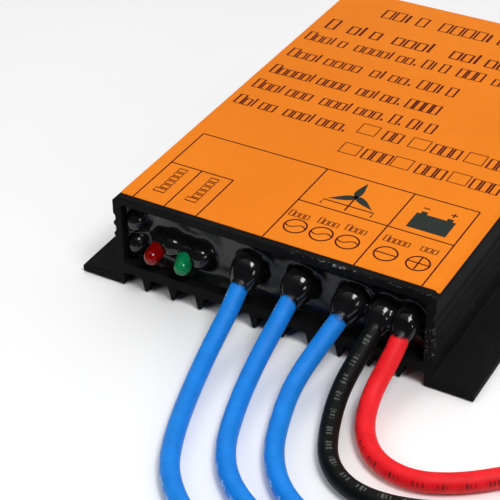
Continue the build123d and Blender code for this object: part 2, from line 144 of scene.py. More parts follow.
# %% [markdown]
# ## Shader maths in plain arithmetic
#
# A finish is a small sum: this colour here, a little rougher there.  Wiring nodes by hand
# hides that sum, so a value in a shader is wrapped in a class whose plus, minus and times
# add the Math nodes.  One more method makes any other node.


# %% Shader helpers
class Level:
    """A value somewhere in a shader.  Arithmetic on it adds Math nodes."""

    def __init__(self, finish, socket):
        self.finish = finish
        self.socket = socket

    def maths(self, operation, *others, first=None):
        values = [self if first is None else first, *others]
        return self.finish.node("ShaderNodeMath", dict(enumerate(values)), operation=operation)

    def __add__(self, other):
        return self.maths("ADD", other)

    __radd__ = __add__

    def __sub__(self, other):
        return self.maths("SUBTRACT", other)

    def __rsub__(self, other):
        return self.maths("SUBTRACT", self, first=other)

    def __mul__(self, other):
        return self.maths("MULTIPLY", other)

    __rmul__ = __mul__

    def above(self, other):
        return self.maths("GREATER_THAN", other)

    def below(self, other):
        return self.maths("LESS_THAN", other)

    def most(self, other):
        return self.maths("MAXIMUM", other)

    def fraction(self):
        return self.maths("FRACT")

    def whole(self):
        return self.maths("FLOOR")

    def size(self):
        return self.maths("ABSOLUTE")

    def between(self, low, high):
        """0 below low, 1 above high, and a straight climb from one to the other."""
        return self.finish.node(
            "ShaderNodeMapRange", {0: self, 1: low, 2: high, 3: 0.0, 4: 1.0}, clamp=True
        )


class Finish:
    """A material round one Principled shader, with short ways to add nodes."""

    def __init__(self, name, **fixed):
        self.material = bpy.data.materials.new(name)
        self.material.use_nodes = True
        self.tree = self.material.node_tree
        self.shader = self.tree.nodes["Principled BSDF"]
        for socket, value in fixed.items():
            self.give(self.shader.inputs[socket.replace("_", " ")], value)

    def give(self, socket, value):
        """A level is linked; a number or a colour is set."""
        if isinstance(value, Level):
            self.tree.links.new(value.socket, socket)
        elif isinstance(value, tuple) and socket.type == "RGBA":
            socket.default_value = (*value, 1.0)
        else:
            socket.default_value = value

    def node(self, kind, sockets=None, out=0, **settings):
        """Any node: its settings first, then its sockets."""
        made = self.tree.nodes.new(kind)
        for key, value in settings.items():
            setattr(made, key, value)
        for key, value in (sockets or {}).items():
            self.give(made.inputs[key], value)
        return Level(self, made.outputs[out])

    def set(self, **sockets):
        for key, value in sockets.items():
            self.give(self.shader.inputs[key.replace("_", " ")], value)

    def here(self, stretch=(1, 1, 1)):
        """Object coordinates in metres, stretched along each axis."""
        spot = self.node("ShaderNodeTexCoord", out=3)
        return self.node("ShaderNodeMapping", {"Vector": spot, "Scale": stretch})

    def split(self, vector):
        """The three numbers of a vector."""
        first = self.node("ShaderNodeSeparateXYZ", {0: vector})
        return [Level(self, s) for s in first.socket.node.outputs]

    def noise(self, scale, detail=2.0, roughness=0.5, stretch=(1, 1, 1), at=None):
        """Soft noise from 0 to 1 whose blobs are about 1/scale metres across."""
        where = at if at is not None else self.here(stretch)
        return self.node(
            "ShaderNodeTexNoise",
            {"Vector": where, "Scale": scale, "Detail": detail, "Roughness": roughness},
        )

    def mix(self, amount, first, second):
        """From the first colour to the second."""
        return self.node("ShaderNodeMix", {0: amount, 6: first, 7: second}, out=2, data_type="RGBA")

    def bump(self, height, depth, strength=1.0):
        """A normal from a height between 0 and 1 that stands for depth metres."""
        return self.node("ShaderNodeBump", {"Height": height, "Distance": depth, "Strength": strength})


# %% [markdown]
# ## The leads
#
# Each lead is thick single-core cable.  It is stiff enough to sweep in wide curves, so its
# line is one smooth spline through a few chosen points: straight out of the resin, a droop,
# and then a lazy bend on the table.  The sheath is a tube carried along that line.  Its
# second texture coordinate is the distance along the lead, so print can follow it.

# %% Routes of the leads
lead_diameter = 5.4
strand_bundle_diameter = 3.4
strand_length = 8.9
pocket_depth, pocket_radius = 0.8, 1.55
exit_z = 18.5
floor_z = lead_diameter / 2
lead_routes = {
    "blue_lead_1": [
        (-7.5, -63.5, exit_z), (-7.5, -74.5, exit_z), (-7, -84, 12), (-7, -96.5, 5.5),
        (-4, -112, floor_z), (1, -128, floor_z), (7, -141, floor_z), (18, -151.5, floor_z),
        (32, -158.5, floor_z), (48, -161, floor_z), (64, -159, floor_z), (80, -154, floor_z),
        (96, -151.5, floor_z), (112, -154, floor_z), (127, -159, floor_z),
    ],
    "blue_lead_2": [
        (9, -63.5, exit_z), (9, -75.5, exit_z), (8, -85.5, 12), (7.5, -97.5, 5.5),
        (10.5, -113, floor_z), (15.5, -127, floor_z), (23, -137, floor_z), (35, -144.5, floor_z),
        (50, -147, floor_z), (66, -145, floor_z), (82, -140, floor_z), (98, -137, floor_z),
        (114, -138.5, floor_z), (129, -143, floor_z), (143, -148.5, floor_z),
    ],
    "blue_lead_3": [
        (25.3, -63.5, exit_z), (25.3, -74, exit_z), (22.5, -85.5, 12), (20, -97, 5.5),
        (22.5, -110, floor_z), (27.5, -123, floor_z), (36, -133.5, floor_z),
        (47.5, -139.5, floor_z), (61, -138, floor_z), (76, -132.5, floor_z), (92, -126.5, floor_z),
        (108, -124, floor_z), (124, -126, floor_z), (139, -131, floor_z), (153.5, -136, floor_z),
    ],
    "black_lead": [
        (34.8, -63.5, exit_z), (34.8, -72.5, exit_z), (34, -83.5, 13), (32.5, -94.5, 6),
        (35.5, -107, floor_z), (41, -118.5, floor_z), (50.5, -125, floor_z), (63, -125, floor_z),
        (77, -119.5, floor_z), (92, -112.5, floor_z), (108, -109, floor_z), (124, -110.5, floor_z),
        (140, -115, floor_z), (155, -119.5, floor_z), (170, -122, floor_z),
    ],
    "red_lead": [
        (42, -63.5, exit_z), (42, -74, exit_z), (42.3, -83, 13), (40.5, -92.5, 5.5),
        (44, -104, floor_z), (52, -112.5, floor_z), (63, -114.5, floor_z), (74.5, -109, floor_z),
        (86, -98.5, floor_z), (99, -91, floor_z), (114, -87.5, floor_z), (130, -89, floor_z),
        (146, -94, floor_z), (161, -98.5, floor_z), (176, -101.5, floor_z),
    ],
}


def lead_line(name, points):
    """Points read from a smooth spline that has the route as its control points."""
    curve = bpy.data.curves.new(name + "_line", "CURVE")
    curve.dimensions = "3D"
    curve.resolution_u = 10
    spline = curve.splines.new("NURBS")
    spline.points.add(len(points) - 1)
    spline.points.foreach_set("co", np.c_[np.array(points) * MM, np.ones(len(points))].ravel())
    spline.order_u = 3
    spline.use_endpoint_u = True
    holder = bpy.data.objects.new(name + "_line", curve)
    mesh = bpy.data.meshes.new_from_object(holder)
    line = np.empty(len(mesh.vertices) * 3)
    mesh.vertices.foreach_get("co", line)
    bpy.data.objects.remove(holder)
    bpy.data.meshes.remove(mesh)
    return line.reshape(-1, 3) / MM


def frames_along(line):
    """Direction, sideways and upward unit vectors at each point of a line that is never upright.
    Sideways is direction cross up, and upward completes the set, so a tube never twists."""
    ahead = np.gradient(line, axis=0)
    ahead /= np.linalg.norm(ahead, axis=1, keepdims=True)
    side = np.cross(ahead, (0, 0, 1))
    side /= np.linalg.norm(side, axis=1, keepdims=True)
    return ahead, side, np.cross(side, ahead)


def tube(line, radius, sides, start_rings=(), end_rings=()):
    """Points of a tube: centre + radius (cos a side + sin a upward), one row per point of the line.
    start_rings and end_rings add (set-out, radius) rows at the two ends, to close them."""
    ahead, side, upward = frames_along(line)
    length = np.r_[0, np.cumsum(np.linalg.norm(np.diff(line, axis=0), axis=1))]
    pick = [0] * len(start_rings) + list(range(len(line))) + [-1] * len(end_rings)
    set_out = np.array([s for s, _ in start_rings] + [0] * len(line) + [s for s, _ in end_rings])
    radii = np.array([r for _, r in start_rings] + [radius] * len(line) + [r for _, r in end_rings])
    angle = np.linspace(0, 2 * pi, sides, endpoint=False)
    centre = line[pick] + ahead[pick] * set_out[:, None]
    ring = np.cos(angle)[None, :, None] * side[pick][:, None]
    ring = ring + np.sin(angle)[None, :, None] * upward[pick][:, None]
    points = centre[:, None] + radii[:, None, None] * ring
    along = length[pick] + set_out
    u = np.arange(sides + 1) / sides

    def corner(rows, columns):
        shape = (len(rows), len(columns))
        share = np.broadcast_to(u[columns], shape)
        return np.stack([share, np.broadcast_to(along[rows, None] * MM, shape)], -1)

    r, c = np.arange(len(pick) - 1), np.arange(sides)
    uv = np.stack([corner(r, c), corner(r, c + 1), corner(r + 1, c + 1), corner(r + 1, c)], 2)
    return points.reshape(-1, 3), grid_faces(len(pick), sides), uv.reshape(-1, 2), length[-1]


# %% [markdown]
# ### Sheath finish
#
# PVC sheath is satin, with a fine drag texture from the die and a row of small print marks.
# Resin wets the first few millimetres outside the mouth and leaves a ragged black collar.


# %% Sheath finish
def sheath_finish(name, colour, deeper, ink, ink_turn, gloss):
    """Satin cable sheath.  The texture coordinate is (share of a turn, metres along)."""
    finish = Finish(name, Specular_IOR_Level=gloss)
    spot = finish.node("ShaderNodeTexCoord", out=2)
    turn, along, _ = finish.split(spot)
    cloud = finish.noise(260.0, detail=3.0)
    drawn_out = finish.node("ShaderNodeMapping", {"Vector": spot, "Scale": (14, 40, 1)})
    drag = finish.noise(40.0, detail=4.0, at=drawn_out)
    body = finish.mix(cloud.between(0.35, 0.7), deeper, colour)
    # Print: small dashes on one side, in groups, each with its own length.
    pitch = along * 880.0
    group = (along * 165.0).fraction().below(0.55)
    shade = finish.node("ShaderNodeTexWhiteNoise", {"W": pitch.whole()}, noise_dimensions="1D")
    dash = pitch.fraction().below(shade * 0.35 + 0.38)
    line_turn = turn + along * 0.9 - ink_turn + 0.5
    band = (line_turn - line_turn.whole() - 0.5).size().below(0.035 + 0.02 * shade)
    worn = finish.noise(1800.0, detail=1.0).between(0.3, 0.45)
    marks = group * dash * band * worn
    body = finish.mix(marks * 0.8, body, ink)
    # A ragged collar of resin, to about 15 mm along the lead.
    ragged = finish.noise(330.0, detail=3.0)
    collar = (along - ragged * 0.0032).between(0.0151, 0.0140)
    body = finish.mix(collar, body, (0.004, 0.004, 0.005))
    finish.set(
        Base_Color=body,
        Roughness=0.42 + 0.1 * drag - 0.34 * collar,
        Normal=finish.bump(drag * 0.5 + collar * 1.5, 0.00012, 0.5),
    )
    return finish


blue_sheath = sheath_finish(
    "blue_sheath",
    colour=(0.008, 0.24, 0.80),
    deeper=(0.006, 0.205, 0.70),
    ink=(0.45, 0.66, 0.90),
    ink_turn=0.10,
    gloss=0.2,
)
black_sheath = sheath_finish(
    "black_sheath",
    colour=(0.0042, 0.0054, 0.0047),
    deeper=(0.0028, 0.0036, 0.0031),
    ink=(0.11, 0.12, 0.11),
    ink_turn=0.31,
    gloss=0.12,
)
red_sheath = sheath_finish(
    "red_sheath",
    colour=(0.92, 0.014, 0.022),
    deeper=(0.80, 0.009, 0.015),
    ink=(0.16, 0.012, 0.014),
    ink_turn=0.12,
    gloss=0.2,
)

# %% Copper finish
copper = Finish("copper_strands", Metallic=1.0)
tarnish = copper.noise(900.0, detail=3.0)
copper.set(
    Base_Color=copper.mix(tarnish.between(0.3, 0.75), (0.86, 0.42, 0.24), (0.50, 0.20, 0.09)),
    Roughness=0.24 + 0.2 * tarnish,
)

# %% [markdown]
# ### Bare ends
#
# The far ends are cut and stripped.  A flexible conductor is a bundle of fine wires laid up
# with a slow twist: one in the middle, six round it and twelve round those.  Each wire is a
# thin tube on its own helix, and the whole bundle is one piece.


# %% Strands
def strand_bundle(end, ahead, side, upward):
    """Wires round a straight axis.  A wire at radius q and start angle a runs through
    end + s ahead + q (cos(a + twist s) side + sin(a + twist s) upward).  The outer layer is
    laid up the other way round from the inner one."""
    wire_radius = 0.33
    layers = [(0.0, 1), (0.68, 6), (1.36, 12)]
    twist = 0.13
    steps = np.linspace(-1.0, strand_length, 12)
    parts = []
    for q, count in layers:
        for a in np.arange(count) * 2 * pi / count:
            fan = 1 + 0.03 * sin(3 * a + q) * np.clip(steps / strand_length, 0, 1)
            angle = a + twist * steps * (1 if q > 1 else -1)
            line = end + np.outer(steps, ahead)
            line += np.outer(q * fan * np.cos(angle), side) + np.outer(q * fan * np.sin(angle), upward)
            points, faces, _, _ = tube(line, wire_radius, 8, [(0, 0)], [(0, wire_radius * 0.6), (0, 0)])
            parts.append((points, faces))
    return gather(parts)


# %% Make the leads
sheaths = {"blue_lead_1": blue_sheath, "blue_lead_2": blue_sheath, "blue_lead_3": blue_sheath}
sheaths |= {"black_lead": black_sheath, "red_lead": red_sheath}
slots = {"black_lead": "cable_black", "red_lead": "cable_red"}
lead_lines = {name: lead_line(name, route) for name, route in lead_routes.items()}
for name, line in lead_lines.items():
    radius = lead_diameter / 2
    cut = [(0, radius * 0.97), (0.12, radius * 0.93), (0.12, strand_bundle_diameter / 2)]
    cut += [(-pocket_depth, pocket_radius), (-pocket_depth, 0)]
    points, faces, uv, length = tube(line, radius, 32, [(0, 0)], cut)
    sheath = mesh_piece(name + "_sheath", points, faces, uv)
    place(sheath, sheaths[name], slots.get(name, "cable_blue"), name)
    ahead, side, upward = (v[-1] for v in frames_along(line))
    points, faces = strand_bundle(line[-1], ahead, side, upward)
    bundle = place(mesh_piece(name + "_wires", points, faces), copper, "copper", name + "_strands")
    round(length * MM, 4)
    print(name, "length", round(length, 1), "mm in", len(line), "points")

# %% [markdown]
# ## The case
#
# An extrusion has one cross-section all along, so the case is one outline carried down the
# Y axis and a second outline, the cavity, carried back.  Real corners are never sharp, and
# a softened edge is what catches the light, so each corner of the outline is an arc and
# both ends get a small saw-cut chamfer.  Subtracting round holes is left to a Boolean.

# %% Sizes of the case
case_half_width, case_half_depth, case_height = 51.0, 76.0, 31.0
cavity_half_width, cavity_floor, cavity_ceiling = 48.1, 8.0, 28.4
fin_height, fin_pitch, fin_count = 4.4, 9.1, 10
fin_root_half, fin_tip_half = 1.5, 0.55
flange_inner_x, flange_outer_x = 48.6, 63.4
flange_edge_height, flange_root_height = 2.3, 3.7
groove_heights = [12.0, 15.8, 19.6, 23.4]
groove_half, groove_floor_half, groove_depth = 1.5, 0.75, 0.65
top_chamfer, end_chamfer = 1.6, 0.22
hole_x, hole_y, hole_radius = 57.5, 36.0, 2.25


def rounded_outline(corners, radii, steps=6):
    """A closed outline with an arc at each corner.
    The arc starts and ends r / tan(half the corner's angle) from the corner, and its points
    are (sin((1 - t) w) A + sin(t w) B) / sin w from the centre, for t from 0 to 1, where
    A and B point to its two ends and w is the angle between them."""
    here = np.array(corners, float)
    back = np.roll(here, 1, 0) - here
    on = np.roll(here, -1, 0) - here
    back /= np.linalg.norm(back, axis=1, keepdims=True)
    on /= np.linalg.norm(on, axis=1, keepdims=True)
    half = np.arccos(np.clip((back * on).sum(1), -1, 1)) / 2
    radius = np.array(radii, float)
    reach = (radius / np.tan(half))[:, None]
    middle = back + on
    middle /= np.linalg.norm(middle, axis=1, keepdims=True)
    centre = here + middle * (radius / np.sin(half))[:, None]
    a = here + back * reach - centre
    b = here + on * reach - centre
    w = (pi - 2 * half)[:, None, None]
    t = np.linspace(0, 1, steps)[None, :, None]
    arc = (np.sin((1 - t) * w) * a[:, None] + np.sin(t * w) * b[:, None]) / np.sin(w)
    return (centre[:, None] + arc).reshape(-1, 2)


def case_corners():
    """Corners and radii of the outer outline, anticlockwise seen from the mouth."""
    right = []
    for x in (np.arange(fin_count // 2) + 0.5) * fin_pitch:
        right += [(x - fin_root_half, fin_height, 0.6), (x - fin_tip_half, 0, 0.4)]
        right += [(x + fin_tip_half, 0, 0.4), (x + fin_root_half, fin_height, 0.6)]
    right += [(flange_inner_x, fin_height, 0.5), (flange_inner_x, 0, 0.35), (flange_outer_x, 0, 0.35)]
    right += [(flange_outer_x, flange_edge_height, 0.6), (case_half_width, flange_root_height, 0.6)]
    groove_x = case_half_width - groove_depth
    for z in groove_heights:
        right += [(case_half_width, z - groove_half, 0.15), (groove_x, z - groove_floor_half, 0.8)]
        right += [(groove_x, z + groove_floor_half, 0.8), (case_half_width, z + groove_half, 0.15)]
    right.append((case_half_width, case_height - top_chamfer, 0.7))
    right.append((case_half_width - top_chamfer, case_height, 0.7))
    right = np.array(right)
    left = right[::-1] * (-1, 1, 1)
    both = np.concatenate([right, left])
    return both[:, :2], both[:, 2]


def grown(outline, amount):
    """The outline moved outwards by amount along its own normals (inwards if negative)."""
    step = np.roll(outline, -1, 0) - np.roll(outline, 1, 0)
    normal = np.stack([step[:, 1], -step[:, 0]], 1)
    return outline + amount * normal / np.linalg.norm(normal, axis=1, keepdims=True)


def extrusion(outer, inner, half_length, chamfer):
    """Walls and chamfered ends of a hollow extrusion along Y.
    Rows at -L, -L + c, L - c and L; the end rows are drawn in by c."""
    inset = half_length - chamfer
    rows = [(-half_length, chamfer), (-inset, 0), (inset, 0), (half_length, chamfer)]
    parts = []
    for outline, sign in ((outer, -1), (inner, 1)):
        rings = [np.insert(grown(outline, sign * c), 1, y, axis=1) for y, c in rows]
        parts.append((np.concatenate(rings), grid_faces(len(rows), len(outline))))
    for y in (-half_length, half_length):
        loops = [np.insert(grown(o, s * chamfer), 1, y, axis=1) for o, s in ((outer, -1), (inner, 1))]
        flat = [[Vector((p[0], p[2], 0)) for p in loop] for loop in loops]
        parts.append((np.concatenate(loops), np.array(tessellate_polygon(flat))))
    return gather(parts)


# %% Case finish
case_black = Finish("case_black", Specular_IOR_Level=0.065)
spot = case_black.here()
across, along, up = case_black.split(spot)
grain = case_black.noise(700.0, detail=4.0, roughness=0.6)
die_lines = case_black.noise(1.0, detail=3.0, stretch=(1900, 5, 1900))
broad = case_black.noise(55.0, detail=2.0)
speck = case_black.noise(1500.0, detail=1.0).between(0.70, 0.76)
dust = speck * case_black.noise(90.0).between(0.5, 0.62)
# Bare metal shows in specks on the right half of the top front edge and on the right wall's
# front edge.
front_edge = along.below(-0.0756) * up.above(0.0304) * across.above(0.002)
rubbed = front_edge * case_black.noise(1300.0, detail=2.0, roughness=0.6).between(0.56, 0.66)
rubbed = rubbed * case_black.noise(70.0).between(0.40, 0.55)
scuff_spot = up.above(0.0095) * up.below(0.020) * along.below(-0.0735) * across.above(0.0465)
scuffed = scuff_spot * case_black.noise(1500.0, detail=3.0, roughness=0.7).between(0.60, 0.68) * 0.7
bare = rubbed.most(scuffed)
body = case_black.mix(broad.between(0.3, 0.7), (0.0030, 0.0034, 0.0031), (0.0060, 0.0066, 0.0060))
body = case_black.mix(grain.between(0.55, 0.8) * 0.35, body, (0.015, 0.016, 0.015))
body = case_black.mix(dust * 0.3, body, (0.12, 0.12, 0.12))
body = case_black.mix(bare, body, (0.42, 0.42, 0.42))
case_black.set(
    Base_Color=body,
    Metallic=bare * 0.8,
    Roughness=0.55 + 0.18 * grain - 0.2 * bare,
    Normal=case_black.bump(die_lines * 0.7 + grain * 0.5, 0.00006, 0.6),
)

# %% Make the case
corners, radii = case_corners()
outer = rounded_outline(corners, radii)
cavity = rounded_outline(
    [
        (-cavity_half_width, cavity_floor),
        (cavity_half_width, cavity_floor),
        (cavity_half_width, cavity_ceiling),
        (-cavity_half_width, cavity_ceiling),
    ],
    [0.8] * 4,
)
points, faces = extrusion(outer, cavity, case_half_depth, end_chamfer)
case = mesh_piece("case", points, faces)
turns = np.linspace(0, 2 * pi, 33)[:-1]
ring = np.stack([np.cos(turns), np.sin(turns), 0 * turns], 1) * hole_radius
drills = []
for x, y in ((sx * hole_x, sy * hole_y) for sx in (-1, 1) for sy in (-1, 1)):
    column = np.concatenate([ring + (x, y, z) for z in (-2.0, 6.0)])
    drills.append((column, grid_faces(2, 32)))
    drills.append((column, [np.arange(32), np.arange(32, 64)]))
drill_points, drill_faces = gather(drills)
drill = mesh_piece("drill", drill_points, drill_faces)
cut = case.modifiers.new("holes", "BOOLEAN")
cut.object = drill
cut.operation = "DIFFERENCE"
cut.solver = "EXACT"
bpy.context.view_layer.update()
drilled = bpy.data.meshes.new_from_object(case.evaluated_get(bpy.context.evaluated_depsgraph_get()))
case.modifiers.clear()
case.data = drilled
bpy.data.objects.remove(drill)
case.data.shade_smooth()
case.data.set_sharp_from_angle(angle=radians(32))
place(case, case_black, "case_black", "housing")
print("case:", len(case.data.polygons), "faces")

# %% [markdown]
# ## The label
#
# The label is printed film as wide as the top.  It starts a little behind the mouth and its
# right edge folds down over the chamfer.  The print is thin ink of its own, so it stays
# crisp from any distance.  Words are replaced by rows of empty boxes, and the symbols are
# the ordinary ones: a three-bladed rotor, a battery, a wave, a minus and a plus.

# %% Label sizes
label_left, label_width = -49.5, 100.0
label_front, label_rear = -73.6, 75.6
label_top = 31.17
ink_top, ink_root = 31.2, label_top - 0.02
chamfer_start = case_half_width - top_chamfer
rule_width = 0.44


def on_label(u, v, z):
    """Print coordinates u (from the left edge) and v (from the front edge) as a point.
    Past the start of the chamfer the film drops by as much as it goes on."""
    x = np.asarray(u, float) + label_left
    y = np.asarray(v, float) + label_front
    fall = np.maximum(0, x - chamfer_start)
    return np.stack(np.broadcast_arrays(x, y, z - fall), -1)


# %% Label film
def label_film():
    """Top and underside of the film: a grid over (u, v) at two heights, joined at its border.
    Its corners are rounded by drawing the ends in: r - sqrt(r^2 - (r - d)^2) at d from the end."""
    radius = 0.8
    fold = chamfer_start - label_left
    u = np.r_[0, 0.05, 0.2, 0.5, 0.9, np.linspace(2, 98, 25), fold, 99.25, 99.6, label_width]
    length = label_rear - label_front
    d = np.minimum(u, label_width - u)
    drawn = np.where(d < radius, radius - np.sqrt(np.maximum(0, radius**2 - (radius - d) ** 2)), 0)
    share = np.linspace(0, 1, 41)[:, None]
    v = drawn + (length - 2 * drawn) * share
    grid_u = np.broadcast_to(u, v.shape)
    top = on_label(grid_u, v, label_top)
    under = on_label(grid_u, v, case_height)
    return slab(top, under)


label_orange = Finish("label_orange", Specular_IOR_Level=0.08)
mottle = label_orange.noise(160.0, detail=3.0)
screen = label_orange.noise(1600.0, detail=2.0)
fade = label_orange.noise(18.0, detail=1.0)
orange = label_orange.mix(fade.between(0.35, 0.65), (0.80, 0.200, 0.006), (0.85, 0.220, 0.008))
orange = label_orange.mix(mottle.between(0.4, 0.7) * 0.25, orange, (0.74, 0.175, 0.006))
orange = label_orange.mix(screen.between(0.5, 0.75) * 0.18, orange, (0.88, 0.265, 0.018))
label_orange.set(
    Base_Color=orange,
    Roughness=0.48 + 0.12 * screen,
    Normal=label_orange.bump(screen * 0.5 + mottle * 0.4, 0.00003, 0.5),
)
points, faces = label_film()
place(mesh_piece("label_film", points, faces), label_orange, "label_orange", "label")


# %% [markdown]
# ### Ink
#
# Every mark is a thin plate on the film.  Lines, circles and empty boxes are strips with a
# width, and solid marks are filled outlines.


# %% Ink shapes
def plate(outline):
    """A filled outline in (u, v) as a thin plate between the film and the ink's top."""
    outline = np.asarray(outline, float)
    n = len(outline)
    top = on_label(outline[:, 0], outline[:, 1], ink_top)
    under = on_label(outline[:, 0], outline[:, 1], ink_root)
    number = np.arange(n)
    rim = np.stack([number, np.roll(number, -1), np.roll(number, -1) + n, number + n], 1)
    cap = np.array(tessellate_polygon([[Vector((*p, 0)) for p in outline]]))
    return np.concatenate([top, under]), [*cap, *(cap[:, ::-1] + n), *rim]


def strip(path, width, closed=False):
    """A line of constant width: path +- width / 2 along its normals."""
    path = np.asarray(path, float)
    step = (np.roll(path, -1, 0) - np.roll(path, 1, 0)) if closed else np.gradient(path, axis=0)
    normal = np.stack([-step[:, 1], step[:, 0]], 1)
    normal *= width / 2 / np.linalg.norm(normal, axis=1, keepdims=True)
    n = len(path)
    one_side, other_side = path + normal, path - normal
    lanes = [(one_side, ink_top), (other_side, ink_top), (other_side, ink_root), (one_side, ink_root)]
    points = np.stack([on_label(lane[:, 0], lane[:, 1], z) for lane, z in lanes], 1).reshape(-1, 3)
    rows = np.arange(n if closed else n - 1)[:, None] * 4
    lane = np.arange(4)[None]
    across = (lane + 1) % 4
    total = 4 * n
    after = (rows + 4) % total
    faces = np.stack([rows + lane, rows + across, after + across, after + lane], -1).reshape(-1, 4)
    if not closed:
        faces = np.concatenate([faces, [[3, 2, 1, 0]], [[total - 4, total - 3, total - 2, total - 1]]])
    return points, faces


def line(u0, v0, u1, v1, width=rule_width):
    return strip([(u0, v0), (u1, v1)], width)


def turned(points, centre, degrees):
    """Points turned about a centre."""
    a = radians(degrees)
    x, y = (np.asarray(points, float) - centre).T
    return np.stack([x * cos(a) - y * sin(a), x * sin(a) + y * cos(a)], 1) + centre


def round_points(u, v, radius, sides):
    a = np.linspace(0, 2 * pi, sides + 1)[:-1]
    return np.stack([u + radius * np.cos(a), v + radius * np.sin(a)], 1)


def circle(u, v, radius, width=0.5):
    return strip(round_points(u, v, radius, 48), width, closed=True)


# %% Word blocks
def words(pattern, start, base, size, advance, upright=False):
    """A row of empty boxes, one for each sign in the pattern: X is full height, x is lower,
    i is a bar, a dot is a speck and a space is a gap.  With upright, the row runs backwards."""
    tall = {"X": 1.0, "x": 0.72, "i": 0.95, ".": 0.2}
    wide = {"X": 0.74, "x": 0.70, "i": 0.22, ".": 0.25}
    stroke = size * 0.125
    blocks = []
    for place_number, sign in enumerate(pattern):
        if sign == " ":
            continue
        a = start + place_number * advance
        b = a + advance * wide[sign]
        low, high = base, base + size * tall[sign]
        box = [(a, low), (b, low), (b, high), (a, high)]
        if upright:
            box = [(base + size - (q - base), p) for p, q in box]
        blocks.append(plate(box) if sign in "i." else strip(box, stroke, closed=True))
    return blocks


# %% Lines and boxes of the print
grid_u = [4.47, 14.96, 25.56, 46.89, 75.0, 95.03]
lamp_box_top, upper_line, lower_line = 20.9, 39.4, 21.0
ruled = [line(u, 0.0, u, upper_line) for u in (grid_u[0], grid_u[3], grid_u[4], grid_u[5])]
ruled += [line(u, 0.0, u, lamp_box_top) for u in grid_u[1:3]]
ruled.append(line(grid_u[0], lamp_box_top, grid_u[2], lamp_box_top))
ruled.append(line(grid_u[0], upper_line, grid_u[5], upper_line))
ruled.append(line(grid_u[3], lower_line, grid_u[5], lower_line))
tick_boxes = [(44.9, 62.2), (61.9, 62.0), (80.0, 62.1), (44.9, 49.7), (61.8, 49.7), (80.0, 49.9)]
for u, v in tick_boxes:
    ruled.append(strip([(u, v), (u + 5.8, v), (u + 5.8, v + 5.7), (u, v + 5.7)], rule_width, closed=True))

# %% Symbols of the print
wave_u, circle_v = (52.5, 60.6, 68.7), 8.7
symbols = [circle(u, circle_v, 3.28) for u in (*wave_u, 80.3, 89.9)]
swing = np.linspace(-1, 1, 17)
for u in wave_u:
    symbols.append(strip(np.stack([u + 3.1 * swing, circle_v + 0.75 * np.sin(pi * swing)], 1), 0.4))
# Minus and plus, in the circles and then small above the battery.
symbols += [line(77.3, 8.7, 83.3, 8.7, 0.45), line(86.9, 8.9, 92.9, 8.9, 0.45)]
symbols.append(line(89.9, 5.9, 89.9, 11.9, 0.45))
symbols += [line(80.1, 34.1, 82.1, 34.1), line(88.4, 34.4, 90.4, 34.4), line(89.4, 33.4, 89.4, 35.4)]
# The rotor's foot and mast.
symbols.append(strip([(53.1, 22.4), (53.1, 24.75), (68.9, 24.75), (68.9, 22.4)], rule_width))
symbols.append(line(61.0, 22.2, 60.95, 29.8, 0.5))
# One blade lies along +v from the hub.  Its half width at share s of its length is
# 1.55 sin(pi s^0.6)^0.9 (1 - s)^0.25, so it swells early and tapers to the tip.
hub_u, hub_v, hub_radius, blade_length = 60.9, 29.8, 0.7, 8.2
share = np.linspace(0, 1, 15)
swell = 1.55 * np.sin(pi * share**0.6) ** 0.9 * (1 - share) ** 0.25
leading = np.stack([hub_u + swell * 0.75, hub_v + blade_length * share], 1)
trailing = np.stack([hub_u - swell, hub_v + blade_length * share], 1)
blade = np.concatenate([leading, trailing[-2:0:-1]])
solid = [plate(turned(blade, (hub_u, hub_v), a)) for a in (0, 120, 240)]
solid.append(plate(round_points(hub_u, hub_v, hub_radius, 24)))
# The battery and its two posts.
solid.append(plate([(79.4, 23.4), (91.3, 23.4), (91.3, 31.1), (79.4, 31.1)]))
solid += [plate([(u - 0.9, 31.0), (u + 0.9, 31.0), (u + 0.9, 32.3), (u - 0.9, 32.3)]) for u in (81.4, 89.3)]

# %% Words of the print
text = words("XXiX XXXXiXXXXX", 18.5, 134.4, 6.0, 4.25)
text += words("X xix xxxi xxixx xxxix", 5.0, 118.6, 7.0, 4.15)
text += words("Xxxix xxxxixx.XiX XXX xxixxxxx", 2.6, 108.4, 5.6, 3.05)
text += words("Xxxixxxx xixx.XXiX", 3.0, 95.4, 5.6, 3.33)
text += words("Xxxxxixxxx xxixx.XXXX", 3.3, 82.8, 5.6, 2.82)
text += words("Xxxixxx xxxixxx.X.XiX", 3.0, 71.8, 5.6, 3.0)
text += words("Xxixx xxxixxx.", 2.8, 60.4, 5.6, 2.9)
tick_words = [(53.4, 61.9, "XX"), (69.4, 61.9, "XXX"), (87.2, 61.9, "XXX")]
tick_words += [(52.4, 49.6, "XXX"), (69.8, 49.6, "XXX"), (87.0, 49.6, "XXX")]
for u, v, pattern in tick_words:
    text += words(pattern, u, v, 5.4, 3.1)
for u, v in ((48.0, 12.9), (57.0, 13.3), (65.3, 13.8)):
    text += words("Xxxx", u, v, 2.9, 1.62)
text += words("Xxxxx", 76.8, 14.2, 2.9, 1.6) + words("xxx", 87.8, 14.6, 2.9, 1.75)
for v in (7.6, 18.3):
    text += words("Xxxxxx", 5.6, v, 3.6, 2.35, upright=True)


# %% Ink finishes
def ink_finish(name, colour, thin, rough):
    """Ink that lets a little film through where it is thin."""
    finish = Finish(name, Specular_IOR_Level=0.04)
    patch = finish.noise(2600.0, detail=2.0)
    finish.set(
        Base_Color=finish.mix(patch.between(0.5, 0.8) * 0.6, colour, thin),
        Roughness=rough + 0.15 * patch,
    )
    return finish


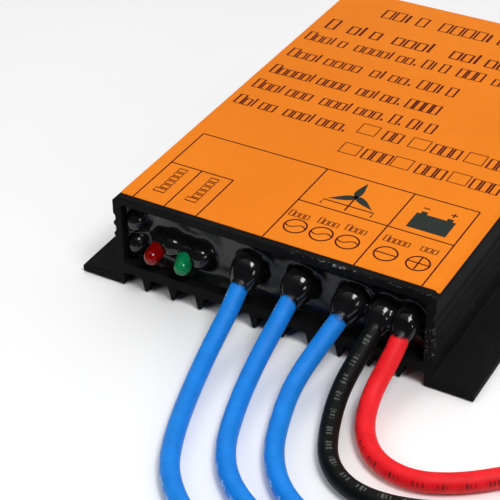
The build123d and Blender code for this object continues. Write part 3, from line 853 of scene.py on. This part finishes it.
line_ink = ink_finish("line_ink", (0.055, 0.004, 0.002), (0.16, 0.022, 0.004), 0.5)
symbol_ink = ink_finish("symbol_ink", (0.022, 0.029, 0.024), (0.075, 0.085, 0.070), 0.5)
word_ink = ink_finish("word_ink", (0.085, 0.007, 0.003), (0.22, 0.035, 0.006), 0.5)
for name, marks, ink in (
    ("label_lines", ruled + symbols, line_ink),
    ("label_symbols", solid, symbol_ink),
    ("label_words", text, word_ink),
):
    points, faces = gather(marks)
    place(mesh_piece(name, points, faces), ink, "label_orange")
    print(name, len(marks), "marks")

# %% [markdown]
# ## The resin
#
# Resin is poured in thick and black.  Where it meets a wall it creeps up, and where a lead
# or a lamp was pushed in it is drawn out along it.  Such shapes melt into each other, so the
# mouth is written as one field, negative inside the resin: a flat face, a sleeve round each
# lead, mounds beside and behind the lamps, and two more at the left wall, all joined by a
# smooth minimum.  A net of points is then laid over the place where the field is zero.

# %% Resin field
resin_front, resin_rear, resin_split = -70.0, 73.0, -66.0
sleeve_y = [-80.8, -79.8, -79.4, -78.9, -78.1, -77.1, -76.0, -74.8, -73.6, -72.0, -66.0]
sleeve_radius = [-0.8, 1.2, 2.0, 2.8, 3.5, 4.1, 4.6, 4.95, 5.1, 5.1, 4.8]
sleeve_shrink = {"black_lead": 0.68, "red_lead": 0.70}
sleeve_reach, mound_reach, face_reach = 1.6, 1.2, 1.9
# Centre, then half sizes across, forward and up: two mounds to the right of the lamps, two
# at the left wall, and one round the rear of each lamp.
mounds = [
    ((-33.5, -69.4, 16.8), (4.0, 6.0, 4.2)),
    ((-24.1, -69.4, 15.8), (4.4, 6.2, 4.4)),
    ((-45.8, -69.2, 21.4), (3.9, 5.9, 4.2)),
    ((-46.0, -69.2, 13.2), (3.6, 5.6, 4.0)),
    ((-37.4, -69.6, 16.6), (3.6, 5.0, 3.6)),
    ((-28.7, -69.6, 16.7), (3.5, 5.4, 3.5)),
]
net_step = 0.3
net_low, net_high = (-48.6, -81.4, 7.5), (48.6, -65.4, 28.9)


def melt(first, second, reach):
    """Smooth minimum: min(a, b) - h^2 k / 4, where h = max(k - |a - b|, 0) / k and k is the reach."""
    h = np.maximum(reach - np.abs(first - second), 0) / reach
    return np.minimum(first, second) - h * h * reach / 4


def wall_distance(x, z):
    """How far a place is from the nearest wall of the cavity."""
    return np.minimum(cavity_half_width - np.abs(x), np.minimum(cavity_ceiling - z, z - cavity_floor))


def resin_field(x, y, z):
    """Negative inside the resin, in millimetres.
    The flat face stands forward at the walls by H exp(-d / s), more under the ceiling."""
    right = np.clip((x + 16) / 10, 0, 1)
    hang = (3.0 + 2.2 * right) * np.exp(-np.maximum(cavity_ceiling - z, 0) / (1.5 + 1.5 * right))
    creep = 2.6 * np.exp(-np.maximum(np.minimum(cavity_half_width - np.abs(x), z - cavity_floor), 0) / 1.2)
    ripple = 0.10 * np.sin(0.55 * x + 1.3) * np.sin(0.8 * z + 0.06 * x)
    face = resin_front - hang - creep - ripple - y
    shapes = None
    for name, line in lead_lines.items():
        order = np.argsort(line[:, 1])
        centre_x = np.interp(y, line[order, 1], line[order, 0])
        centre_z = np.interp(y, line[order, 1], line[order, 2])
        radius = np.interp(y, sleeve_y, sleeve_radius)
        radius = np.minimum(radius, 2.6 + (radius - 2.6) * sleeve_shrink.get(name, 1.0))
        lift = 0.8 * np.clip((y + 79.4) / 2.4, 0, 1) * np.clip((-70.5 - y) / 3.5, 0, 1)
        sleeve = np.hypot(x - centre_x, z - centre_z - lift) - radius
        shapes = sleeve if shapes is None else melt(shapes, sleeve, sleeve_reach)
    for (cx, cy, cz), (rx, ry, rz) in mounds:
        mound = (np.sqrt(((x - cx) / rx) ** 2 + ((y - cy) / ry) ** 2 + ((z - cz) / rz) ** 2) - 1) * rx
        shapes = melt(shapes, mound, mound_reach)
    front = melt(face, shapes, face_reach)
    return np.maximum(front, np.maximum(-wall_distance(x, z), y - resin_split))


# %% Net over a field
def surface_net(field, low, high, step):
    """A closed mesh where the field is zero.  One point stands in each cell that the surface
    crosses and slides down the field's slope: p - f grad f / |grad f|^2.  Each edge of the
    lattice that the surface crosses gives a quad between the four cells round it."""
    axes = [np.arange(a, b + step, step) for a, b in zip(low, high)]
    inside = field(*np.meshgrid(*axes, indexing="ij")) < 0
    cells = [n - 1 for n in inside.shape]
    corners = [
        inside[i : i + cells[0], j : j + cells[1], k : k + cells[2]] for i, j, k in np.ndindex(2, 2, 2)
    ]
    filled = np.sum(corners, axis=0)
    crossed = (filled > 0) & (filled < 8)
    number = np.full(crossed.shape, -1)
    number[crossed] = np.arange(crossed.sum())
    middle = np.stack([a[:-1][n] + step / 2 for a, n in zip(axes, np.nonzero(crossed))], 1)
    points = middle.copy()
    nudge = 0.01
    for _ in range(5):
        value = field(*points.T)
        beyond = np.stack([field(*(points + d).T) for d in np.eye(3) * nudge], 1)
        before = np.stack([field(*(points - d).T) for d in np.eye(3) * nudge], 1)
        slope = (beyond - before) / (2 * nudge)
        points -= slope * (value / np.maximum((slope**2).sum(1), 0.2))[:, None]
        points = np.clip(points, middle - 0.75 * step, middle + 0.75 * step)
    faces = []
    for axis in range(3):
        state = np.moveaxis(inside, axis, 0)
        ids = np.moveaxis(number, axis, 0)
        changes = state[1:] != state[:-1]
        i, j, k = np.nonzero(changes[:, 1:-1, 1:-1])
        faces.append(np.stack([ids[i, j, k], ids[i, j + 1, k], ids[i, j + 1, k + 1], ids[i, j, k + 1]], 1))
    return points, np.concatenate(faces)


def resin_body():
    """The rest of the resin: a block from the split to the rear, which creeps up its walls."""
    x, z = np.meshgrid(
        np.linspace(-cavity_half_width, cavity_half_width, 161), np.linspace(cavity_floor, cavity_ceiling, 41)
    )
    swell = 0.12 * np.sin(0.11 * x) * np.sin(0.3 * z)
    front = np.stack([x, np.full_like(x, resin_split), z], -1)
    rear = np.stack([x, resin_rear + 1.6 * np.exp(-wall_distance(x, z) / 1.2) + swell, z], -1)
    return slab(front, rear)


# %% Resin finish
resin_black = Finish("resin_black", Specular_IOR_Level=0.48)
_, along, _ = resin_black.split(resin_black.here())
# The resin is glossier where it stands proud of its flat face.
proud = along.between(-0.0712, -0.0735)
swirl = resin_black.noise(120.0, detail=3.0)
dimple = resin_black.noise(480.0, detail=2.0)
film = resin_black.noise(900.0, detail=3.0).between(0.62, 0.8)
resin_black.set(
    Base_Color=resin_black.mix(swirl.between(0.3, 0.7), (0.0035, 0.0035, 0.004), (0.008, 0.008, 0.009)),
    Roughness=0.21 - 0.12 * proud + 0.06 * swirl + 0.10 * film,
    Normal=resin_black.bump(swirl * 0.6 + dimple * 0.4, 0.0002, 0.5),
)
points, faces = surface_net(resin_field, net_low, net_high, net_step)
resin_face = mesh_piece("resin_face", points, faces, sharp_above=60)
print("resin face:", len(resin_face.data.polygons), "faces")
place(resin_face, resin_black, "potting_black", "potting_compound")
points, faces = resin_body()
place(mesh_piece("resin_body", points, faces), resin_black, "potting_black", "potting_compound")

# %% [markdown]
# ## The lamps
#
# A five millimetre lamp is a dome on a short cylinder with a rim at its base.  It is turned
# from one profile.  The tinted resin is clear enough to show the little cup and posts
# inside, and those make it read as a lamp and not as a bead.


# %% Lamp shapes
def lamp_axes(degrees_right, degrees_down):
    """Backward, sideways and upward axes of a lamp that looks right and down by those turns."""
    droop, yaw = radians(degrees_down), radians(degrees_right)
    backward = np.array([-sin(yaw) * cos(droop), cos(yaw) * cos(droop), sin(droop)])
    side = np.array([cos(yaw), sin(yaw), 0.0])
    return backward, side, np.cross(side, backward)


def lathe(profile, centre, axes, sides=40):
    """Profile rows (set-back, radius) turned about the lamp's axis:
    centre + s backward + r (cos a side + sin a upward)."""
    backward, side, upward = axes
    s, r = np.array(profile, float).T
    a = np.linspace(0, 2 * pi, sides, endpoint=False)
    ring = np.cos(a)[:, None] * side + np.sin(a)[:, None] * upward
    points = centre + s[:, None, None] * backward + r[:, None, None] * ring
    return points.reshape(-1, 3), grid_faces(len(s), sides)


def lamp_finish(name, colour, deep):
    finish = Finish(name, Transmission_Weight=0.45, IOR=1.45, Specular_IOR_Level=0.2)
    cloud = finish.noise(500.0, detail=2.0)
    finish.set(
        Base_Color=finish.mix(cloud.between(0.3, 0.7), deep, colour),
        Roughness=0.04 + 0.05 * cloud,
    )
    return finish


cup_metal = Finish("cup_metal", Metallic=1.0)
stamped = cup_metal.noise(3000.0)
cup_metal.set(
    Base_Color=cup_metal.mix(stamped, (0.75, 0.75, 0.72), (0.55, 0.55, 0.53)),
    Roughness=0.3 + 0.2 * stamped,
)
lens_radius, rim_radius, lens_length = 2.5, 2.9, 6.2
lens_profile = [(-lens_radius * cos(a), lens_radius * sin(a)) for a in np.linspace(0, pi / 2, 14)]
lens_profile += [(2.6, lens_radius), (5.15, lens_radius), (5.2, 2.55), (5.25, 2.85)]
lens_profile += [(5.4, rim_radius), (6.05, rim_radius), (lens_length, 2.8), (lens_length, 0)]
cup_profile = [(0.9, 0), (0.9, 0.35), (0.35, 0.85), (0.35, 1.0), (1.6, 0.75), (1.6, 0)]
red_lens = lamp_finish("red_lens", (0.36, 0.001, 0.001), (0.22, 0.0005, 0.0005))
green_lens = lamp_finish("green_lens", (0.006, 0.34, 0.12), (0.002, 0.22, 0.07))
# Name, slot, finish, centre of the dome, and the turns right and down.
lamps = [
    ("red_lamp", "lamp_red", red_lens, (-37.3, -77.2, 14.7), 0.0, 14.0),
    ("green_lamp", "lamp_green", green_lens, (-27.2, -77.0, 14.3), 15.0, 20.0),
]
for name, slot, finish, centre, degrees_right, degrees_down in lamps:
    axes = lamp_axes(degrees_right, degrees_down)
    points, faces = lathe(lens_profile, centre, axes)
    place(mesh_piece(name + "_lens", points, faces), finish, slot, name)
    parts = [lathe(cup_profile, centre - 0.45 * axes[1], axes, 20)]
    for offset, start in ((-0.75, 1.5), (1.0, 0.9)):
        post = [(start, 0), (start, 0.28), (5.9, 0.28), (5.9, 0)]
        parts.append(lathe(post, centre + offset * axes[1], axes, 8))
    points, faces = gather(parts)
    place(mesh_piece(name + "_cup", points, faces), cup_metal, "tinned_copper")

# %% [markdown]
# ## What the resin hides
#
# The board and its parts stay as the frame's own solids.  Nobody sees them while the resin
# is in place, but each still gets the finish of its own material.


# %% Finishes of the hidden parts
def plain_finish(name, colour, other, metal=0.0, rough=0.5, scale=400.0, stretch=(1, 1, 1)):
    """A quiet two-tone material with a little grain."""
    finish = Finish(name, Metallic=metal)
    grain = finish.noise(scale, detail=3.0, stretch=stretch)
    finish.set(
        Base_Color=finish.mix(grain.between(0.3, 0.7), colour, other),
        Roughness=rough - 0.08 + 0.16 * grain,
        Normal=finish.bump(grain, 0.00003, 0.4),
    )
    return finish


hidden = [
    (plain_finish("solder_mask", (0.012, 0.13, 0.05), (0.02, 0.18, 0.07), 0.0, 0.3), ["circuit_board"]),
    (plain_finish("plated_brass", (0.72, 0.5, 0.2), (0.6, 0.42, 0.18), 1.0, 0.3), ["board_standoffs"]),
    (
        plain_finish("plated_steel", (0.6, 0.6, 0.58), (0.48, 0.48, 0.47), 1.0, 0.35),
        ["board_screws", "clamp_screws"],
    ),
    (plain_finish("silicone_pad", (0.35, 0.38, 0.42), (0.28, 0.31, 0.35), 0.0, 0.8), ["thermal_pads"]),
    (
        plain_finish("moulded_package", (0.012, 0.012, 0.013), (0.022, 0.022, 0.023), 0.0, 0.6, 1500.0),
        ["rectifier_diodes", "power_mosfets", "controller_chip", "driver_chips"],
    ),
    (
        plain_finish("drawn_aluminium", (0.8, 0.8, 0.8), (0.65, 0.65, 0.66), 1.0, 0.35, 60.0, (1, 14, 14)),
        ["clamp_bars", "output_capacitors", "input_capacitors"],
    ),
    (plain_finish("coated_ferrite", (0.06, 0.06, 0.065), (0.1, 0.1, 0.105), 0.0, 0.5), ["inductor_core"]),
    (
        plain_finish("enamelled_wire", (0.55, 0.2, 0.07), (0.4, 0.13, 0.04), 1.0, 0.3, 900.0),
        ["inductor_winding", "shunt_resistor"],
    ),
    (
        plain_finish("tinned_wire", (0.75, 0.74, 0.7), (0.6, 0.6, 0.57), 1.0, 0.3, 1200.0),
        ["red_lamp_legs", "green_lamp_legs", "lead_tails"],
    ),
]
for finish, nodes in hidden:
    for node in nodes:
        solid_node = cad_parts[node]
        for slot in solid_node.material_slots:
            slot.material = finish.material
        if not solid_node.material_slots:
            solid_node.data.materials.append(finish.material)
print("hidden parts finished:", sum(len(n) for _, n in hidden))

# %% [markdown]
# ## Table and light
#
# A pale table under a large soft light and a small one at the side.  Black glossy resin
# shows only what it reflects, so the size and place of these two decide how it looks.  A
# broad fill lifts the near side and is left out of reflections, and the room grows from dark
# at the horizon to bright above.

# %% Table
bpy.ops.mesh.primitive_plane_add(size=6.0, location=(0, 0, -0.0003))
table_top = bpy.context.object
table_top.name = "table_top"
table_finish = Finish("table_white", Specular_IOR_Level=0.1, Roughness=0.9)
fleck = table_finish.noise(6.0)
table_finish.set(Base_Color=table_finish.mix(fleck, (0.93, 0.93, 0.93), (0.95, 0.95, 0.95)))
table_top.data.materials.append(table_finish.material)


# %% Lights
def soft_light(name, where, look_at, size, watts):
    """A square area light at where, facing look_at, both in metres."""
    lamp = bpy.data.lights.new(name, "AREA")
    lamp.size = size
    lamp.energy = watts
    holder = bpy.data.objects.new(name, lamp)
    bpy.context.collection.objects.link(holder)
    direction = Vector(look_at) - Vector(where)
    holder.rotation_euler = direction.to_track_quat("-Z", "Y").to_euler()
    holder.location = where
    return holder


soft_light("overhead", (0.42, -0.28, 0.88), (0, 0, 0), 0.32, 5.3)
soft_light("side", (0.92, -0.45, 0.42), (0, -0.05, 0), 0.20, 0.8)
fill = soft_light("fill", (-0.60, -0.95, 0.85), (0, -0.05, 0), 0.8, 5.0)
fill.visible_glossy = False
room = bpy.data.worlds.new("room")
room.use_nodes = True
# The background's strength climbs with 0.8 Y + Z of the direction.
sky = room.node_tree.nodes
toward = sky.new("ShaderNodeTexCoord")
parts = sky.new("ShaderNodeSeparateXYZ")
back = sky.new("ShaderNodeMath")
back.operation = "MULTIPLY_ADD"
back.inputs[1].default_value = 0.8
climb = sky.new("ShaderNodeMapRange")
for socket, value in (("From Min", 0.40), ("From Max", 1.10), ("To Min", 0.03), ("To Max", 0.90)):
    climb.inputs[socket].default_value = value
wire = room.node_tree.links.new
wire(toward.outputs["Generated"], parts.inputs[0])
wire(parts.outputs["Y"], back.inputs[0])
wire(parts.outputs["Z"], back.inputs[2])
wire(back.outputs[0], climb.inputs["Value"])
wire(climb.outputs[0], sky["Background"].inputs["Strength"])
sky["Background"].inputs["Color"].default_value = (1, 1, 1, 1)
bpy.context.scene.world = room
bpy.context.scene.view_settings.view_transform = "Standard"
